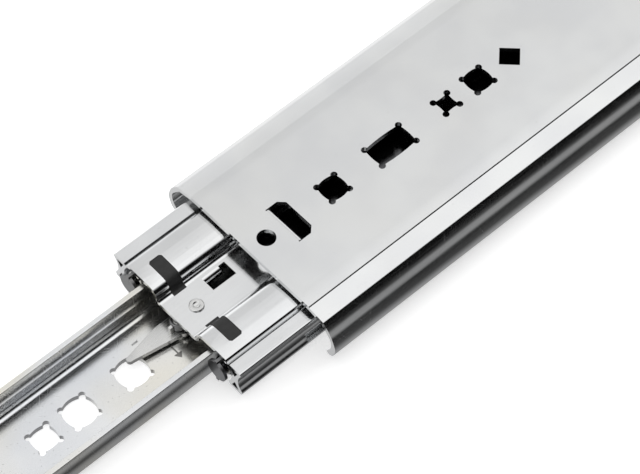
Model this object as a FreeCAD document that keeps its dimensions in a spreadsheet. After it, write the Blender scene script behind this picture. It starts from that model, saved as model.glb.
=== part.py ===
"""Three-section heavy-duty ball-bearing drawer slide, lying with its cabinet face up.

+X is the way the drawer pulls out, +Z is the outward normal of the cabinet face, and the
origin is the centre of the front fixing hole on that face.  Each rail is drawn in a frame
of its own with x = 0 at its front end, and stands in the slide through its Placement.
"""
import FreeCAD, Part
import math
import os

import Sketcher

# name: millimetres (degrees for the angles)
DRIVING_SIZES = {
    # whole slide
    "slide_width": 76.2,
    "slide_thickness": 19.1,
    "rail_length": 304.8,
    "stage_travel": 150.0,
    "middle_open": 28.6,
    # sheet thicknesses
    "outer_gauge": 1.8,
    "middle_gauge": 1.3,
    "inner_gauge": 1.9,
    # balls and the races that they run in
    "ball_diameter": 8.73,
    "ball_clearance": 0.05,
    "race_slack": 0.6,
    "race_reach": 4.9,
    "race_foot": 3.9,
    "race_spread": 1.63,
    "waist": 2.9,
    "ball_count": 12,
    "ball_pitch": 11.0,
    # ball retainers
    "cage_gauge": 1.0,
    "cage_margin": 0.505,
    "cage_headroom": 0.25,
    "cage_play": 0.08,
    "outer_cage_lag": 144.5,
    "inner_cage_lead": 2.0,
    "lug_clearance": 0.465,
    "lug_gauge": 1.0,
    # outer rail, its section measured inwards from its side and down from its face
    "crease_inset": 11.4,
    "crease_step": 0.3,
    "web_roll": 6.5,
    "web_dip": 0.12,
    "shoulder_inset": 5.3,
    "shoulder_drop": 1.4,
    "bend_inset": 4.2,
    "bend_drop": 2.45,
    "bend_radius": 4.0,
    "knee_inset": 2.8,
    "knee_drop": 3.95,
    "facet_inset": 1.7,
    "facet_drop": 5.7,
    "flank_radius": 22.0,
    "bulge_drop": 0.9,
    "bulge_radius": 10.6,
    "flange_foot": 14.8,
    "flange_depth": 16.3,
    "foot_inset": 0.9,
    "foot_radius": 2.3,
    "hook_inset": 3.7,
    "hook_round": 0.9,
    "hook_radius": 0.95,
    "hook_rise": 0.1,
    "wall_foot": 3.0,
    "wall_lean": 0.55,
    "wall_radius": 8.0,
    "fixing_hole_radius": 3.0,
    "hole_setback": 7.0,
    "fixing_pitch": 256.0,
    "diamond_half": 4.6,
    "slot_setback": 13.3,
    "slot_length": 15.4,
    "slot_width": 6.6,
    "slot_chamfer": 2.0,
    "tongue_drop": 4.4,
    "tongue_clearance": 0.4,
    # middle rail
    "plateau_drop": 3.4,
    "plateau_crown": 0.18,
    "strip_drop": 4.2,
    "valley_drop": 8.0,
    "valley_half": 7.1,
    "rise_run": 5.2,
    "knee_run": 1.8,
    "knee_rise": 1.5,
    "foot_bend": 1.66,
    "top_bend": 3.42,
    "plateau_inset": 6.9,
    "groove_depth": 0.7,
    "groove_width": 0.95,
    "groove_wall": 1.0,
    "groove_bend": 1.7,
    "rim_radius": 0.8,
    "hem_radius": 2.2,
    "hem_round": 0.6,
    "hollow_reach": 1.5,
    "hollow_wall": 0.25,
    "window_front": 15.0,
    "window_length": 8.9,
    "window_low": -6.4,
    "window_high": -0.8,
    "flap_reach": 1.9,
    "flap_drop": 2.0,
    "flap_bend": 2.4,
    "flap_gauge": 0.9,
    "flap_notch": 2.4,
    "pad_front": 5.0,
    "pad_length": 4.9,
    "pad_margin": 3.3,
    "pad_chamfer": 0.7,
    "pad_depth": 1.1,
    "access_hole_radius": 6.0,
    # catch plate and its rivet
    "plate_gauge": 1.0,
    "plate_half": 5.4,
    "plate_front": 6.7,
    "plate_rear": 5.4,
    "plate_corner": 1.4,
    "catch_lug_start": 2.3,
    "catch_lug_length": 1.5,
    "catch_lug_drop": 3.4,
    "rivet_setback": 7.7,
    "rivet_head_radius": 2.4,
    "rivet_shank_radius": 1.7,
    "rivet_head": 0.6,
    "dimple_radius": 1.25,
    "dimple_depth": 0.55,
    # inner rail
    "lip_depth": 6.6,
    "lip_round": 0.3,
    "groove_radius": 8.0,
    "corner_radius": 3.6,
    "corner_relief": 0.6,
    "drawer_hole_radius": 2.6,
    "drawer_hole_pitch": 32.0,
    "drawer_hole_setback": 16.6,
    "mark_depth": 0.25,
    "mark_setback": 146.2,
    "mark_across": 0.9,
    "dent_setback": 137.8,
    "dent_across": -7.3,
    "dent_length": 2.2,
    "dent_width": 0.6,
    # release lever, its rivet and its spring
    "lever_gauge": 1.6,
    "lever_standoff": 1.1,
    "nose_clearance": 1.2,
    "pivot_setback": 151.8,
    "pivot_across": -1.8,
    "pivot_radius": 1.7,
    "pivot_play": 0.05,
    "pivot_seat_play": 0.1,
    "pivot_collar": 1.2,
    "pivot_head_gauge": 0.6,
    "pivot_head_rim": 0.2,
    "pivot_head_clearance": 1.0,
    "wire_diameter": 0.7,
    "coil_radius": 2.35,
    "coil_turns": 3,
    "coil_gap": 0.105,
    "coil_seat": 0.08,
    "leg_setback": 0.4,
    "long_leg": 6.2,
    "free_leg": 4.6,
    # stops
    "bumper_length": 6.0,
    "bumper_half": 10.0,
    "bumper_round": 2.0,
    "bumper_overhang": 0.9,
    "bumper_gap": 0.3,
    "bumper_pin_radius": 1.5,
    "bumper_pin_head_radius": 2.8,
    "bumper_pin_head": 0.8,
    "stop_gauge": 1.6,
    "stop_setback": 1.2,
    "stop_foot": 11.3,
    "stop_bend": 0.6,
    "stop_height": 4.5,
    "stop_half": 7.0,
    "stop_rivet_along": 8.2,
    "stop_rivet_across": 4.0,
    "stop_rivet_radius": 1.5,
    "stop_rivet_head": 1.0,
    "stop_rivet_rim": 1.1,
    "rivet_crown": 0.4,
    # small break at the edge of a turned head
    "edge_break": 0.3,
}

# centre behind the outer rail's front end, half spacing of the lobes along and across, lobe
# radius, and how far each side bows outwards (a negative bow is hollow)
OUTER_WINDOWS = (
    (33.7, 3.5, 3.5, 1.1, 0.7),
    (57.1, 7.0, 4.0, 1.1, 0.4),
    (80.5, 2.9, 2.9, 1.1, -0.35),
    (93.9, 3.5, 3.5, 1.1, 0.7),
    (181.0, 3.5, 3.5, 1.1, 0.7),
    (204.4, 7.0, 4.0, 1.1, 0.4),
    (227.8, 2.9, 2.9, 1.1, -0.35),
)
DIAMOND_SETBACKS = (107.4, 241.2)
# the same, behind the inner rail's front end
INNER_WINDOWS = (
    (98.6, 3.4, 3.4, 1.1, 0.7),
    (112.0, 4.0, 4.0, 1.1, 1.25),
    (132.0, 4.0, 4.0, 1.1, 1.25),
    (220.0, 4.0, 4.0, 1.1, 1.25),
)
# direction square to the outer rail's knee, as parts across and down
KNEE_SQUARE = (0.75, 0.66)
# direction from a ball's centre to the top end of the arc that wraps it
WRAP_END = (0.67, 0.79)
ACCESS_SETBACKS = (75.0, 150.0, 225.0)
# fixing holes for the drawer, in pitches behind the first
DRAWER_HOLE_STEPS = (0, 1, 7, 8)
# the release lever's plan from its pivot: (along, across) or (along, across, radius, side)
LEVER_PLAN = (
    (19.3, -1.6, 1.3, 1),
    (17.9, 0.3),
    (1.5, 3.1, 3.6, 1),
    (-2.0, 3.7),
    (-7.6, 3.7),
    (-7.6, 1.8),
    (-3.4, 1.2, 3.6, 1),
    (-1.6, -3.2),
    (1.5, -4.4),
    (6.4, -4.2),
    (18.2, -1.8),
)
# upstanding parts of the lever, as (along, across) of their low and high corners
LEVER_NOSE = ((-7.6, 1.9), (-6.0, 3.6))
LEVER_EAR = ((2.8, -0.1), (4.0, 1.0))
# plain arrow, 5 mm long, that points across the rail the way the lever is pushed
ARROW_PLAN = ((-0.25, 0.0), (0.25, 0.0), (0.25, 3.2), (1.5, 3.2), (0.0, 5.2), (-1.5, 3.2), (-0.25, 3.2))

SPARE = 1.0
SHEET_NAME = "Sizes"


class Size:
    """A number together with the sheet expression that it comes from."""

    def __init__(self, value, text):
        self.value = value
        self.text = text

    def joined(self, other, sign, value):
        text = other.text if isinstance(other, Size) else repr(float(other))
        return Size(value, "({} {} {})".format(self.text, sign, text))

    def __add__(self, other):
        return self.joined(other, "+", self.value + number(other))

    def __sub__(self, other):
        return self.joined(other, "-", self.value - number(other))

    def __mul__(self, other):
        return self.joined(other, "*", self.value * number(other))

    def __truediv__(self, other):
        return self.joined(other, "/", self.value / number(other))

    def __neg__(self):
        return Size(-self.value, "(-1 * {})".format(self.text))


def number(size):
    return size.value if isinstance(size, Size) else float(size)


def plain(value):
    """A constant, written as an expression so that it can be bound like any size."""
    return Size(float(value), repr(float(value)))


def sagitta_radius(chord, sagitta):
    """Radius of the arc that starts square to its sagitta and drifts by it over the chord."""
    return (chord * chord + sagitta * sagitta) / (sagitta * 2)


def fill_sheet(doc):
    """Put the driving sizes in the sheet; return them as Size objects by name."""
    sheet = doc.addObject("Spreadsheet::Sheet", SHEET_NAME)
    for row, (alias, value) in enumerate(DRIVING_SIZES.items(), start=1):
        sheet.set("A{}".format(row), alias)
        sheet.set("B{}".format(row), repr(value))
        sheet.setAlias("B{}".format(row), alias)
    doc.recompute()
    return {alias: Size(float(sheet.get(alias)), "{}.{}".format(SHEET_NAME, alias)) for alias in DRIVING_SIZES}


# ---------------------------------------------------------------- helpers


def bind(obj, path, size):
    obj.setExpression(path, size.text if isinstance(size, Size) else repr(float(size)))


def new_body(doc, label):
    body = doc.addObject("PartDesign::Body", label)
    body.Label = label
    return body


def new_sketch(body, name, role, offset=None):
    """A sketch on one of the body's own origin planes, moved along the plane's normal."""
    sketch = body.newObject("Sketcher::SketchObject", name)
    plane = [feature for feature in body.Origin.OriginFeatures if feature.Role == role][0]
    sketch.AttachmentSupport = [(plane, "")]
    sketch.MapMode = "FlatFace"
    if offset is not None:
        bind(sketch, ".AttachmentOffset.Base.z", offset)
    return sketch


class Dimensions:
    """Constraints collected for one sketch, added in one go and then bound to the sheet."""

    def __init__(self, sketch):
        self.sketch = sketch
        self.constraints = []
        self.sizes = {}

    def join(self, *ends):
        self.constraints.append(Sketcher.Constraint("Coincident", *ends))

    def add(self, kind, *args):
        """Add a dimension whose last argument is its Size."""
        self.sizes[len(self.constraints)] = args[-1]
        self.constraints.append(Sketcher.Constraint(kind, *args[:-1], number(args[-1])))

    def fix_point(self, geometry, position, across, along):
        self.add("DistanceX", -1, 1, geometry, position, across)
        self.add("DistanceY", -1, 1, geometry, position, along)

    def apply(self):
        start = self.sketch.ConstraintCount
        self.sketch.addConstraint(self.constraints)
        for index, size in self.sizes.items():
            if isinstance(size, Size):
                bind(self.sketch, "Constraints[{}]".format(start + index), size)


def arc_between(start, end, radius, side):
    """The short arc between two points; side is 1 with the centre on the left of the way."""
    chord = end.sub(start)
    left = FreeCAD.Vector(-chord.y, chord.x, 0).normalize()
    rise = math.sqrt(max(radius ** 2 - (chord.Length / 2) ** 2, 0.0))
    centre = start.add(chord * 0.5).add(left * (side * rise))
    first, last = (start, end) if side > 0 else (end, start)
    angles = [math.atan2(point.y - centre.y, point.x - centre.x) for point in (first, last)]
    circle = Part.Circle(centre, FreeCAD.Vector(0, 0, 1), radius)
    return Part.ArcOfCircle(circle, angles[0], angles[1])


def draw_outline(sketch, corners):
    """A closed outline of (u, v) or (u, v, radius, side) corners.

    A corner with a radius starts an arc to the next corner; side 1 curves to the left.
    """
    points = [FreeCAD.Vector(number(corner[0]), number(corner[1]), 0) for corner in corners]
    dimensions = Dimensions(sketch)
    first_edge = sketch.GeometryCount
    edges = []
    ends = []
    for index, corner in enumerate(corners):
        start = points[index]
        end = points[(index + 1) % len(points)]
        geometry = first_edge + index
        if len(corner) == 2:
            edges.append(Part.LineSegment(start, end))
            ends.append((geometry, 1, 2))
            continue
        radius, side = corner[2:]
        edges.append(arc_between(start, end, number(radius), side))
        dimensions.add("Radius", geometry, radius)
        ends.append((geometry, 1, 2) if side > 0 else (geometry, 2, 1))
    for index, corner in enumerate(corners):
        geometry, first, last = ends[index]
        following = ends[(index + 1) % len(ends)]
        dimensions.join(geometry, last, following[0], following[1])
        dimensions.fix_point(geometry, first, corner[0], corner[1])
    sketch.addGeometry(edges, False)
    dimensions.apply()


def draw_circle(sketch, across, along, radius):
    centre = FreeCAD.Vector(number(across), number(along), 0)
    circle = Part.Circle(centre, FreeCAD.Vector(0, 0, 1), number(radius))
    geometry = sketch.addGeometry(circle, False)
    dimensions = Dimensions(sketch)
    dimensions.add("Radius", geometry, radius)
    dimensions.fix_point(geometry, 3, across, along)
    dimensions.apply()


def draw_rectangle(sketch, low, high):
    draw_outline(sketch, [(low[0], low[1]), (high[0], low[1]), (high[0], high[1]), (low[0], high[1])])


def with_mirror(corners):
    """Close a right-hand half outline with its mirror image in the vertical axis."""
    mirrored = []
    for index in range(len(corners) - 1, -1, -1):
        across, along = corners[index][:2]
        shape = corners[index - 1][2:] if index > 0 else ()
        mirrored.append((-across, along) + tuple(shape))
    return list(corners) + mirrored


def pad(body, sketch, name, length, reverse=False):
    feature = body.newObject("PartDesign::Pad", name)
    feature.Profile = sketch
    feature.Reversed = reverse
    bind(feature, "Length", length)
    return feature


def pocket(body, sketch, name, length=None, reverse=False, both_ways=False):
    """Cut a sketch out of the body; without a length it goes right through."""
    feature = body.newObject("PartDesign::Pocket", name)
    feature.Profile = sketch
    feature.Reversed = reverse
    if both_ways:
        feature.Midplane = True
    if length is None:
        feature.Type = "ThroughAll"
    else:
        bind(feature, "Length", length)
    return feature


def turn_round(body, sketch):
    """Turn a half section round the vertical axis."""
    turn = body.newObject("PartDesign::Revolution", "Turned")
    turn.Profile = sketch
    turn.ReferenceAxis = (sketch, ["V_Axis"])
    turn.Angle = 360


def place(obj, along, across=None, up=None):
    for path, size in ((".Placement.Base.x", along), (".Placement.Base.y", across), (".Placement.Base.z", up)):
        if size is not None:
            bind(obj, path, size)


def solid_feature(doc, label, shape, along, across=None):
    """A sub-part whose shape is worked out in code, standing at `along` on the slide."""
    feature = doc.addObject("Part::Feature", label)
    feature.Label = label
    feature.Shape = shape
    place(feature, along, across)
    return feature


# ---------------------------------------------------------------- shared places


def race_places(size):
    """Where the balls and the faces that they touch stand across the slide and below its face."""
    radius = size["ball_diameter"] / 2 + size["ball_clearance"]
    spread = size["race_spread"]
    half_cage = size["ball_diameter"] / 2 + size["cage_play"] + size["cage_margin"]
    outer_wall = size["slide_width"] / 2 - size["outer_gauge"]
    outer_ball = outer_wall - radius
    outer_waist = outer_ball - radius
    inner_waist = outer_waist - size["waist"]
    inner_ball = inner_waist - radius
    return {
        "depth": size["plateau_drop"] + size["middle_gauge"] + size["cage_headroom"] + half_cage,
        "half_cage": half_cage,
        "ball_radius": radius,
        "outer_wall": outer_wall,
        "outer_ball": outer_ball,
        "outer_waist": outer_waist,
        "outer_tip": outer_waist + spread,
        "inner_waist": inner_waist,
        "inner_tip": inner_waist - spread,
        "inner_ball": inner_ball,
        "inner_wall": inner_ball - radius,
    }


def outer_front(size):
    return size["hole_setback"]


def middle_front(size):
    return size["hole_setback"] + size["middle_open"]


def inner_front(size):
    return middle_front(size) + size["stage_travel"]


def middle_length(size):
    return size["rail_length"] - size["bumper_length"] - size["bumper_gap"]


def cage_length(size):
    return size["ball_pitch"] * size["ball_count"]


def outer_cage_front(size):
    """The outer retainers lag the middle rail by half of what it has moved."""
    closed = outer_front(size) - (size["outer_cage_lag"] - cage_length(size)) - size["stage_travel"] / 2
    return closed + size["middle_open"] / 2


def inner_web_top(size):
    return -(size["slide_thickness"] - size["inner_gauge"])


def lever_top(size):
    return inner_web_top(size) + size["lever_standoff"] + size["lever_gauge"]


def catch_plate_top(size):
    return -size["valley_drop"] - size["middle_gauge"]


def bumper_bottom(size):
    return -size["valley_drop"] - size["middle_gauge"] - size["bumper_overhang"]


# ---------------------------------------------------------------- outer rail


def window_outline(centre, half_along, half_across, bow):
    """A four-cornered window whose sides are arcs that bow outwards or inwards."""
    corners = ((1, 1), (-1, 1), (-1, -1), (1, -1))
    outline = []
    for index, (along, across) in enumerate(corners):
        chord = half_along if index % 2 == 0 else half_across
        radius = (chord ** 2 + bow ** 2) / (2 * abs(bow))
        side = 1 if bow > 0 else -1
        outline.append((centre + along * half_along, plain(across * half_across), plain(radius), side))
    return outline


def cut_windows(body, front, windows):
    """Cut the lobed windows: their middles first, then the round lobes at the corners."""
    middles = new_sketch(body, "WindowMiddles", "XY_Plane")
    for setback, half_along, half_across, _, bow in windows:
        draw_outline(middles, window_outline(front - setback, half_along, half_across, bow))
    pocket(body, middles, "WindowPocket")
    lobes = new_sketch(body, "WindowLobes", "XY_Plane")
    for setback, half_along, half_across, lobe, _ in windows:
        for along, across in ((1, 1), (-1, 1), (-1, -1), (1, -1)):
            draw_circle(lobes, front - setback + along * half_along, plain(across * half_across), plain(lobe))
    pocket(body, lobes, "LobePocket")


def outer_section(size):
    """Right-hand half of the outer rail's section, from the web's top round to its underside."""
    race = race_places(size)
    gauge = size["outer_gauge"]
    half = size["slide_width"] / 2
    depth = race["depth"]
    crease = half - size["crease_inset"]
    shoulder = half - size["shoulder_inset"]
    inner_shoulder = shoulder - size["crease_step"]
    bend = half - size["bend_inset"]
    knee = half - size["knee_inset"]
    facet = half - size["facet_inset"]
    hook = half - size["hook_inset"]
    # inside corners lie the sheet's thickness away, square to the knee
    square_across, square_down = gauge * KNEE_SQUARE[0], gauge * KNEE_SQUARE[1]
    wrap_across, wrap_up = race["ball_radius"] * WRAP_END[0], race["ball_radius"] * WRAP_END[1]
    return [
        (crease - size["web_roll"], plain(0), sagitta_radius(size["web_roll"], size["web_dip"]), -1),
        (crease, -size["web_dip"]),
        (crease + size["crease_step"], -size["web_dip"] - size["crease_step"]),
        (shoulder, -size["shoulder_drop"], size["bend_radius"], -1),
        (bend, -size["bend_drop"]),
        (knee, -size["knee_drop"]),
        (facet, -size["facet_drop"], size["flank_radius"], -1),
        (half, -depth - size["bulge_drop"], size["bulge_radius"], -1),
        (half - size["foot_inset"], -size["flange_foot"], size["foot_radius"], -1),
        (hook + size["hook_round"], -size["flange_depth"], size["hook_radius"], -1),
        (hook + size["hook_rise"], -size["flange_foot"] + size["hook_rise"]),
        (race["outer_wall"] - size["wall_lean"], -depth - size["wall_foot"], size["wall_radius"], 1),
        (race["outer_wall"], -depth, race["ball_radius"] + size["race_slack"], 1),
        (race["outer_ball"] + wrap_across, -depth + wrap_up),
        (knee - square_across, -size["knee_drop"] - square_down),
        (bend - square_across, -size["bend_drop"] - square_down),
        (inner_shoulder, -size["shoulder_drop"] - gauge),
        (crease - size["crease_step"], -gauge),
    ]


def make_outer_rail(doc, size):
    """Cabinet member: a wide channel with curled flanges, fixing holes and a bent tongue."""
    body = new_body(doc, "outer_rail")
    section = new_sketch(body, "Section", "YZ_Plane")
    draw_outline(section, with_mirror(outer_section(size)))
    pad(body, section, "Profile", size["rail_length"], reverse=True)
    place(body, outer_front(size))
    rounds = new_sketch(body, "RoundHoles", "XY_Plane")
    for along in (-size["hole_setback"], -size["hole_setback"] - size["fixing_pitch"]):
        draw_circle(rounds, along, plain(0), size["fixing_hole_radius"])
    draw_circle(rounds, size["bumper_length"] / 2 - size["rail_length"], plain(0), size["bumper_pin_radius"])
    pocket(body, rounds, "RoundPocket")
    cut_windows(body, plain(0), OUTER_WINDOWS)
    diamonds = new_sketch(body, "Diamonds", "XY_Plane")
    corner = size["diamond_half"]
    for setback in DIAMOND_SETBACKS:
        draw_outline(diamonds, [(corner - setback, plain(0)), (plain(-setback), corner),
                                (-corner - setback, plain(0)), (plain(-setback), -corner)])
    pocket(body, diamonds, "DiamondPocket")
    near = -size["slot_setback"]
    far = near - size["slot_width"]
    half = size["slot_length"] / 2
    cut = size["slot_chamfer"]
    slot = new_sketch(body, "TongueSlot", "XY_Plane")
    draw_outline(slot, [(near, -half), (near, half), (far + cut, half), (far, half - cut),
                        (far, -half + cut), (far + cut, -half)])
    pocket(body, slot, "SlotPocket")
    gauge = size["outer_gauge"]
    inset = size["tongue_clearance"]
    tongue = new_sketch(body, "Tongue", "XZ_Plane", -half + inset)
    draw_outline(tongue, [(near + SPARE, plain(0)), (near, plain(0), gauge, 1), (near - gauge, -gauge),
                          (near - gauge, -size["tongue_drop"]), (near, -size["tongue_drop"]),
                          (near, -gauge), (near + SPARE, -gauge)])
    pad(body, tongue, "TonguePad", size["slot_length"] - inset * 2)
    return body


# ---------------------------------------------------------------- middle rail


def rise_curve(size):
    """The tight foot and the wide top bend that lift the web from the valley to the plateau."""
    valley = size["valley_half"]
    return [
        (valley, -size["valley_drop"], size["foot_bend"], 1),
        (valley + size["knee_run"], -size["valley_drop"] + size["knee_rise"], size["top_bend"], -1),
        (valley + size["rise_run"], -size["plateau_drop"]),
    ]


def middle_section(size):
    """Right-hand half of the middle rail's outline: web, raised plateau and hourglass flange."""
    race = race_places(size)
    gauge = size["middle_gauge"]
    spread = size["race_spread"]
    depth = race["depth"]
    top = -size["strip_drop"]
    rim = size["rim_radius"]
    shoulder = top - rim
    under = top - gauge - 0.1
    foot = -depth - size["race_foot"]
    bottom = -depth - size["race_reach"] - rim
    valley = size["valley_half"]
    plateau_start = valley + size["rise_run"]
    plateau_end = race["outer_tip"] - size["plateau_inset"]
    groove = plateau_end + size["groove_width"]
    strip = groove + size["groove_wall"]
    crown = sagitta_radius((plateau_end - plateau_start) / 2, size["plateau_crown"])
    upper_race = sagitta_radius(shoulder + depth, spread)
    lower_race = sagitta_radius(size["race_foot"], spread)
    inner_top = race["inner_tip"] + 0.2
    inner_race = sagitta_radius(under + depth, spread - 0.2)
    knee = valley + size["knee_run"] + gauge
    knee_level = -size["valley_drop"] + size["knee_rise"]
    return rise_curve(size)[:2] + [
        (plateau_start, -size["plateau_drop"], crown, -1),
        (plateau_end, -size["plateau_drop"], size["groove_bend"], -1),
        (groove, top - size["groove_depth"]),
        (strip, top),
        (race["outer_tip"] - rim, top, rim, -1),
        (race["outer_tip"], shoulder, upper_race, 1),
        (race["outer_waist"], -depth, lower_race, 1),
        (race["outer_tip"], foot, size["hem_radius"], -1),
        (race["outer_tip"] - size["hem_round"], bottom),
        (race["inner_tip"] + size["hem_round"], bottom, size["hem_radius"], -1),
        (race["inner_tip"], foot, lower_race, 1),
        (race["inner_waist"], -depth, inner_race, 1),
        (inner_top, under, plain(1.1), 1),
        (plateau_end - 0.3, -size["plateau_drop"] - gauge),
        (plateau_start, -size["plateau_drop"] - gauge, size["top_bend"] - gauge, 1),
        (knee, knee_level - 0.1, size["foot_bend"] + gauge, -1),
        (valley, -size["valley_drop"] - gauge),
    ]


def hourglass_hollows(size):
    """The two three-cornered hollows inside one hourglass flange, above and below its waist."""
    race = race_places(size)
    gauge = size["middle_gauge"]
    middle = (race["outer_waist"] + race["inner_waist"]) / 2
    top = -size["strip_drop"] - gauge
    bottom = -race["depth"] - size["race_reach"] - size["rim_radius"] + gauge
    half = (race["outer_tip"] - race["inner_tip"]) / 2 - gauge - size["hollow_wall"]
    reach = size["hollow_reach"]
    upper = [(middle - half, top), (middle, -race["depth"] + reach), (middle + half, top)]
    lower = [(middle - half, bottom), (middle + half, bottom), (middle, -race["depth"] - reach)]
    return upper, lower


def make_middle_rail(doc, size):
    """Middle member: carries balls on both sides of its hourglass flanges."""
    body = new_body(doc, "intermediate_rail")
    section = new_sketch(body, "Section", "YZ_Plane")
    draw_outline(section, with_mirror(middle_section(size)))
    for hollow in hourglass_hollows(size):
        draw_outline(section, hollow)
        draw_outline(section, [(-across, along) for across, along in reversed(hollow)])
    pad(body, section, "Profile", middle_length(size), reverse=True)
    place(body, middle_front(size))
    slots = new_sketch(body, "PadSlots", "XY_Plane")
    for side in (1, -1):
        draw_outline(slots, pad_outline(size, side))
    pocket(body, slots, "PadPocket", size["valley_drop"] + size["middle_gauge"] + SPARE)
    window = new_sketch(body, "CatchWindow", "XY_Plane")
    near = -size["window_front"]
    draw_rectangle(window, (near - size["window_length"], size["window_low"]), (near, size["window_high"]))
    pocket(body, window, "WindowPocket")
    rounds = new_sketch(body, "RoundHoles", "XY_Plane")
    draw_circle(rounds, -size["rivet_setback"], plain(0), size["rivet_shank_radius"])
    for setback in ACCESS_SETBACKS:
        draw_circle(rounds, plain(-setback), plain(0), size["access_hole_radius"])
    pocket(body, rounds, "RoundPocket")
    low = size["window_low"]
    top = -size["valley_drop"]
    thick = size["flap_gauge"]
    reach = low + size["flap_reach"]
    foot = top - size["flap_drop"]
    flap = new_sketch(body, "Flap", "YZ_Plane", near - size["window_length"] + size["flap_notch"])
    draw_outline(flap, [
        (low - SPARE, top),
        (low, top, size["flap_bend"], -1),
        (reach, foot),
        (reach - thick, foot - 0.1, size["flap_bend"] - thick, 1),
        (low - 0.2, top - thick),
        (low - SPARE, top - thick),
    ])
    pad(body, flap, "FlapPad", size["window_length"] - size["flap_notch"])
    return body


def pad_outline(size, side):
    """Plan of one cushion slot: across the plateau and shoulder, its outer corners cut off."""
    near = -size["pad_front"]
    far = near - size["pad_length"]
    start = (size["valley_half"] - 0.1) * side
    end_half = race_places(size)["outer_tip"] - size["plateau_inset"] - size["pad_margin"]
    end = end_half * side
    cut = size["pad_chamfer"] * side
    outline = [(near, start), (near, end - cut), (near - size["pad_chamfer"], end),
               (far + size["pad_chamfer"], end), (far, end - cut), (far, start)]
    return outline if side > 0 else list(reversed(outline))


def make_front_pad(doc, size, label, side):
    """Rubber cushion that fills its slot flush and stands a little below the sheet."""
    body = new_body(doc, label)
    section = new_sketch(body, "Section", "YZ_Plane", -size["pad_front"] + SPARE)
    rise = rise_curve(size)
    start, top = rise[2]
    valley_half, valley = rise[0][:2]
    low = size["middle_gauge"] + size["pad_depth"]
    end = race_places(size)["outer_tip"] - size["plateau_inset"] - size["pad_margin"] + SPARE
    corners = rise + [
        (end, top),
        (end, top - low),
        (start + 0.5, top - low),
        (valley_half + size["rise_run"] / 2, valley - low),
        (valley_half - SPARE, valley - low),
        (valley_half - SPARE, valley),
    ]
    if side < 0:
        corners = [(-corner[0], corner[1]) + tuple(corners[index - 1][2:])
                   for index, corner in reversed(list(enumerate(corners)))]
    draw_outline(section, corners)
    pad(body, section, "Profile", size["pad_length"] + 2 * SPARE, reverse=True)
    plan = new_sketch(body, "Plan", "XY_Plane")
    margin = plain(3.0)
    near = -size["pad_front"] + margin
    far = -size["pad_front"] - size["pad_length"] - margin
    inside = (valley_half - margin) * side
    outside = (end + margin) * side
    low_side, high_side = (inside, outside) if side > 0 else (outside, inside)
    draw_rectangle(plan, (far, low_side), (near, high_side))
    draw_outline(plan, pad_outline(size, side))
    pocket(body, plan, "Trim")
    place(body, middle_front(size))
    return body


def make_catch_plate(doc, size):
    """Plate under the middle rail's web, whose lug stops the release lever's nose."""
    body = new_body(doc, "catch_plate")
    top = catch_plate_top(size)
    plan = new_sketch(body, "Plan", "XY_Plane", top)
    rear = -size["rivet_setback"] - size["plate_rear"]
    front = -size["rivet_setback"] + size["plate_front"]
    half = size["plate_half"]
    cut = size["plate_corner"]
    draw_outline(plan, [(front, -half + cut), (front, half - cut), (front - cut, half), (rear, half),
                        (rear, -half), (front - cut, -half)])
    draw_circle(plan, -size["rivet_setback"], plain(0), size["rivet_shank_radius"])
    pad(body, plan, "Plate", size["plate_gauge"], reverse=True)
    lug = new_sketch(body, "Lug", "XY_Plane", top - size["plate_gauge"] / 2)
    draw_rectangle(lug, (rear, size["catch_lug_start"]), (rear + size["catch_lug_length"], half))
    pad(body, lug, "LugPad", size["catch_lug_drop"], reverse=True)
    place(body, middle_front(size))
    return body


def make_catch_rivet(doc, size):
    """Rivet that holds the catch plate: a dimpled head above and a closed head below."""
    body = new_body(doc, "catch_rivet")
    sketch = new_sketch(body, "Section", "XZ_Plane")
    web_top = -size["valley_drop"]
    under = catch_plate_top(size) - size["plate_gauge"]
    shank = size["rivet_shank_radius"]
    head = size["rivet_head_radius"]
    high = web_top + size["rivet_head"]
    low = under - size["rivet_head"]
    edge = size["edge_break"]
    dimple = sagitta_radius(size["dimple_radius"], size["dimple_depth"])
    draw_outline(sketch, [
        (plain(0), low),
        (head - edge, low),
        (head, low + edge),
        (head, under),
        (shank, under),
        (shank, web_top),
        (head, web_top),
        (head, high - edge),
        (head - edge, high),
        (size["dimple_radius"], high, dimple, -1),
        (plain(0), high - size["dimple_depth"]),
    ])
    turn_round(body, sketch)
    place(body, middle_front(size) - size["rivet_setback"])
    return body


# ---------------------------------------------------------------- inner rail


def inner_section(size):
    """Right-hand half of the inner rail's section: web at the bottom, grooved flange, lip."""
    race = race_places(size)
    wall = race["inner_wall"]
    gauge = size["inner_gauge"]
    radius = size["groove_radius"]
    lip = -size["lip_depth"]
    reach = race["depth"] - size["lip_depth"]
    depth = -race["depth"]
    edge = wall + reach * reach / (radius * 2)
    bottom = -size["slide_thickness"]
    corner = size["corner_radius"]
    foot = bottom + corner
    soft = size["lip_round"]
    relief = size["corner_relief"]
    return [
        (edge - corner, bottom, corner, 1),
        (edge, foot),
        (edge, depth - reach, radius, -1),
        (wall, depth, radius, -1),
        (edge, lip - soft, soft, 1),
        (edge - soft, lip),
        (edge - gauge + soft, lip, soft, 1),
        (edge - gauge, lip - soft, radius + gauge, 1),
        (wall - gauge, depth, radius + gauge, 1),
        (edge - gauge, depth - reach),
        (edge - gauge, foot + relief, corner - gauge + relief, -1),
        (edge - corner - relief, bottom + gauge),
    ]


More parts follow.
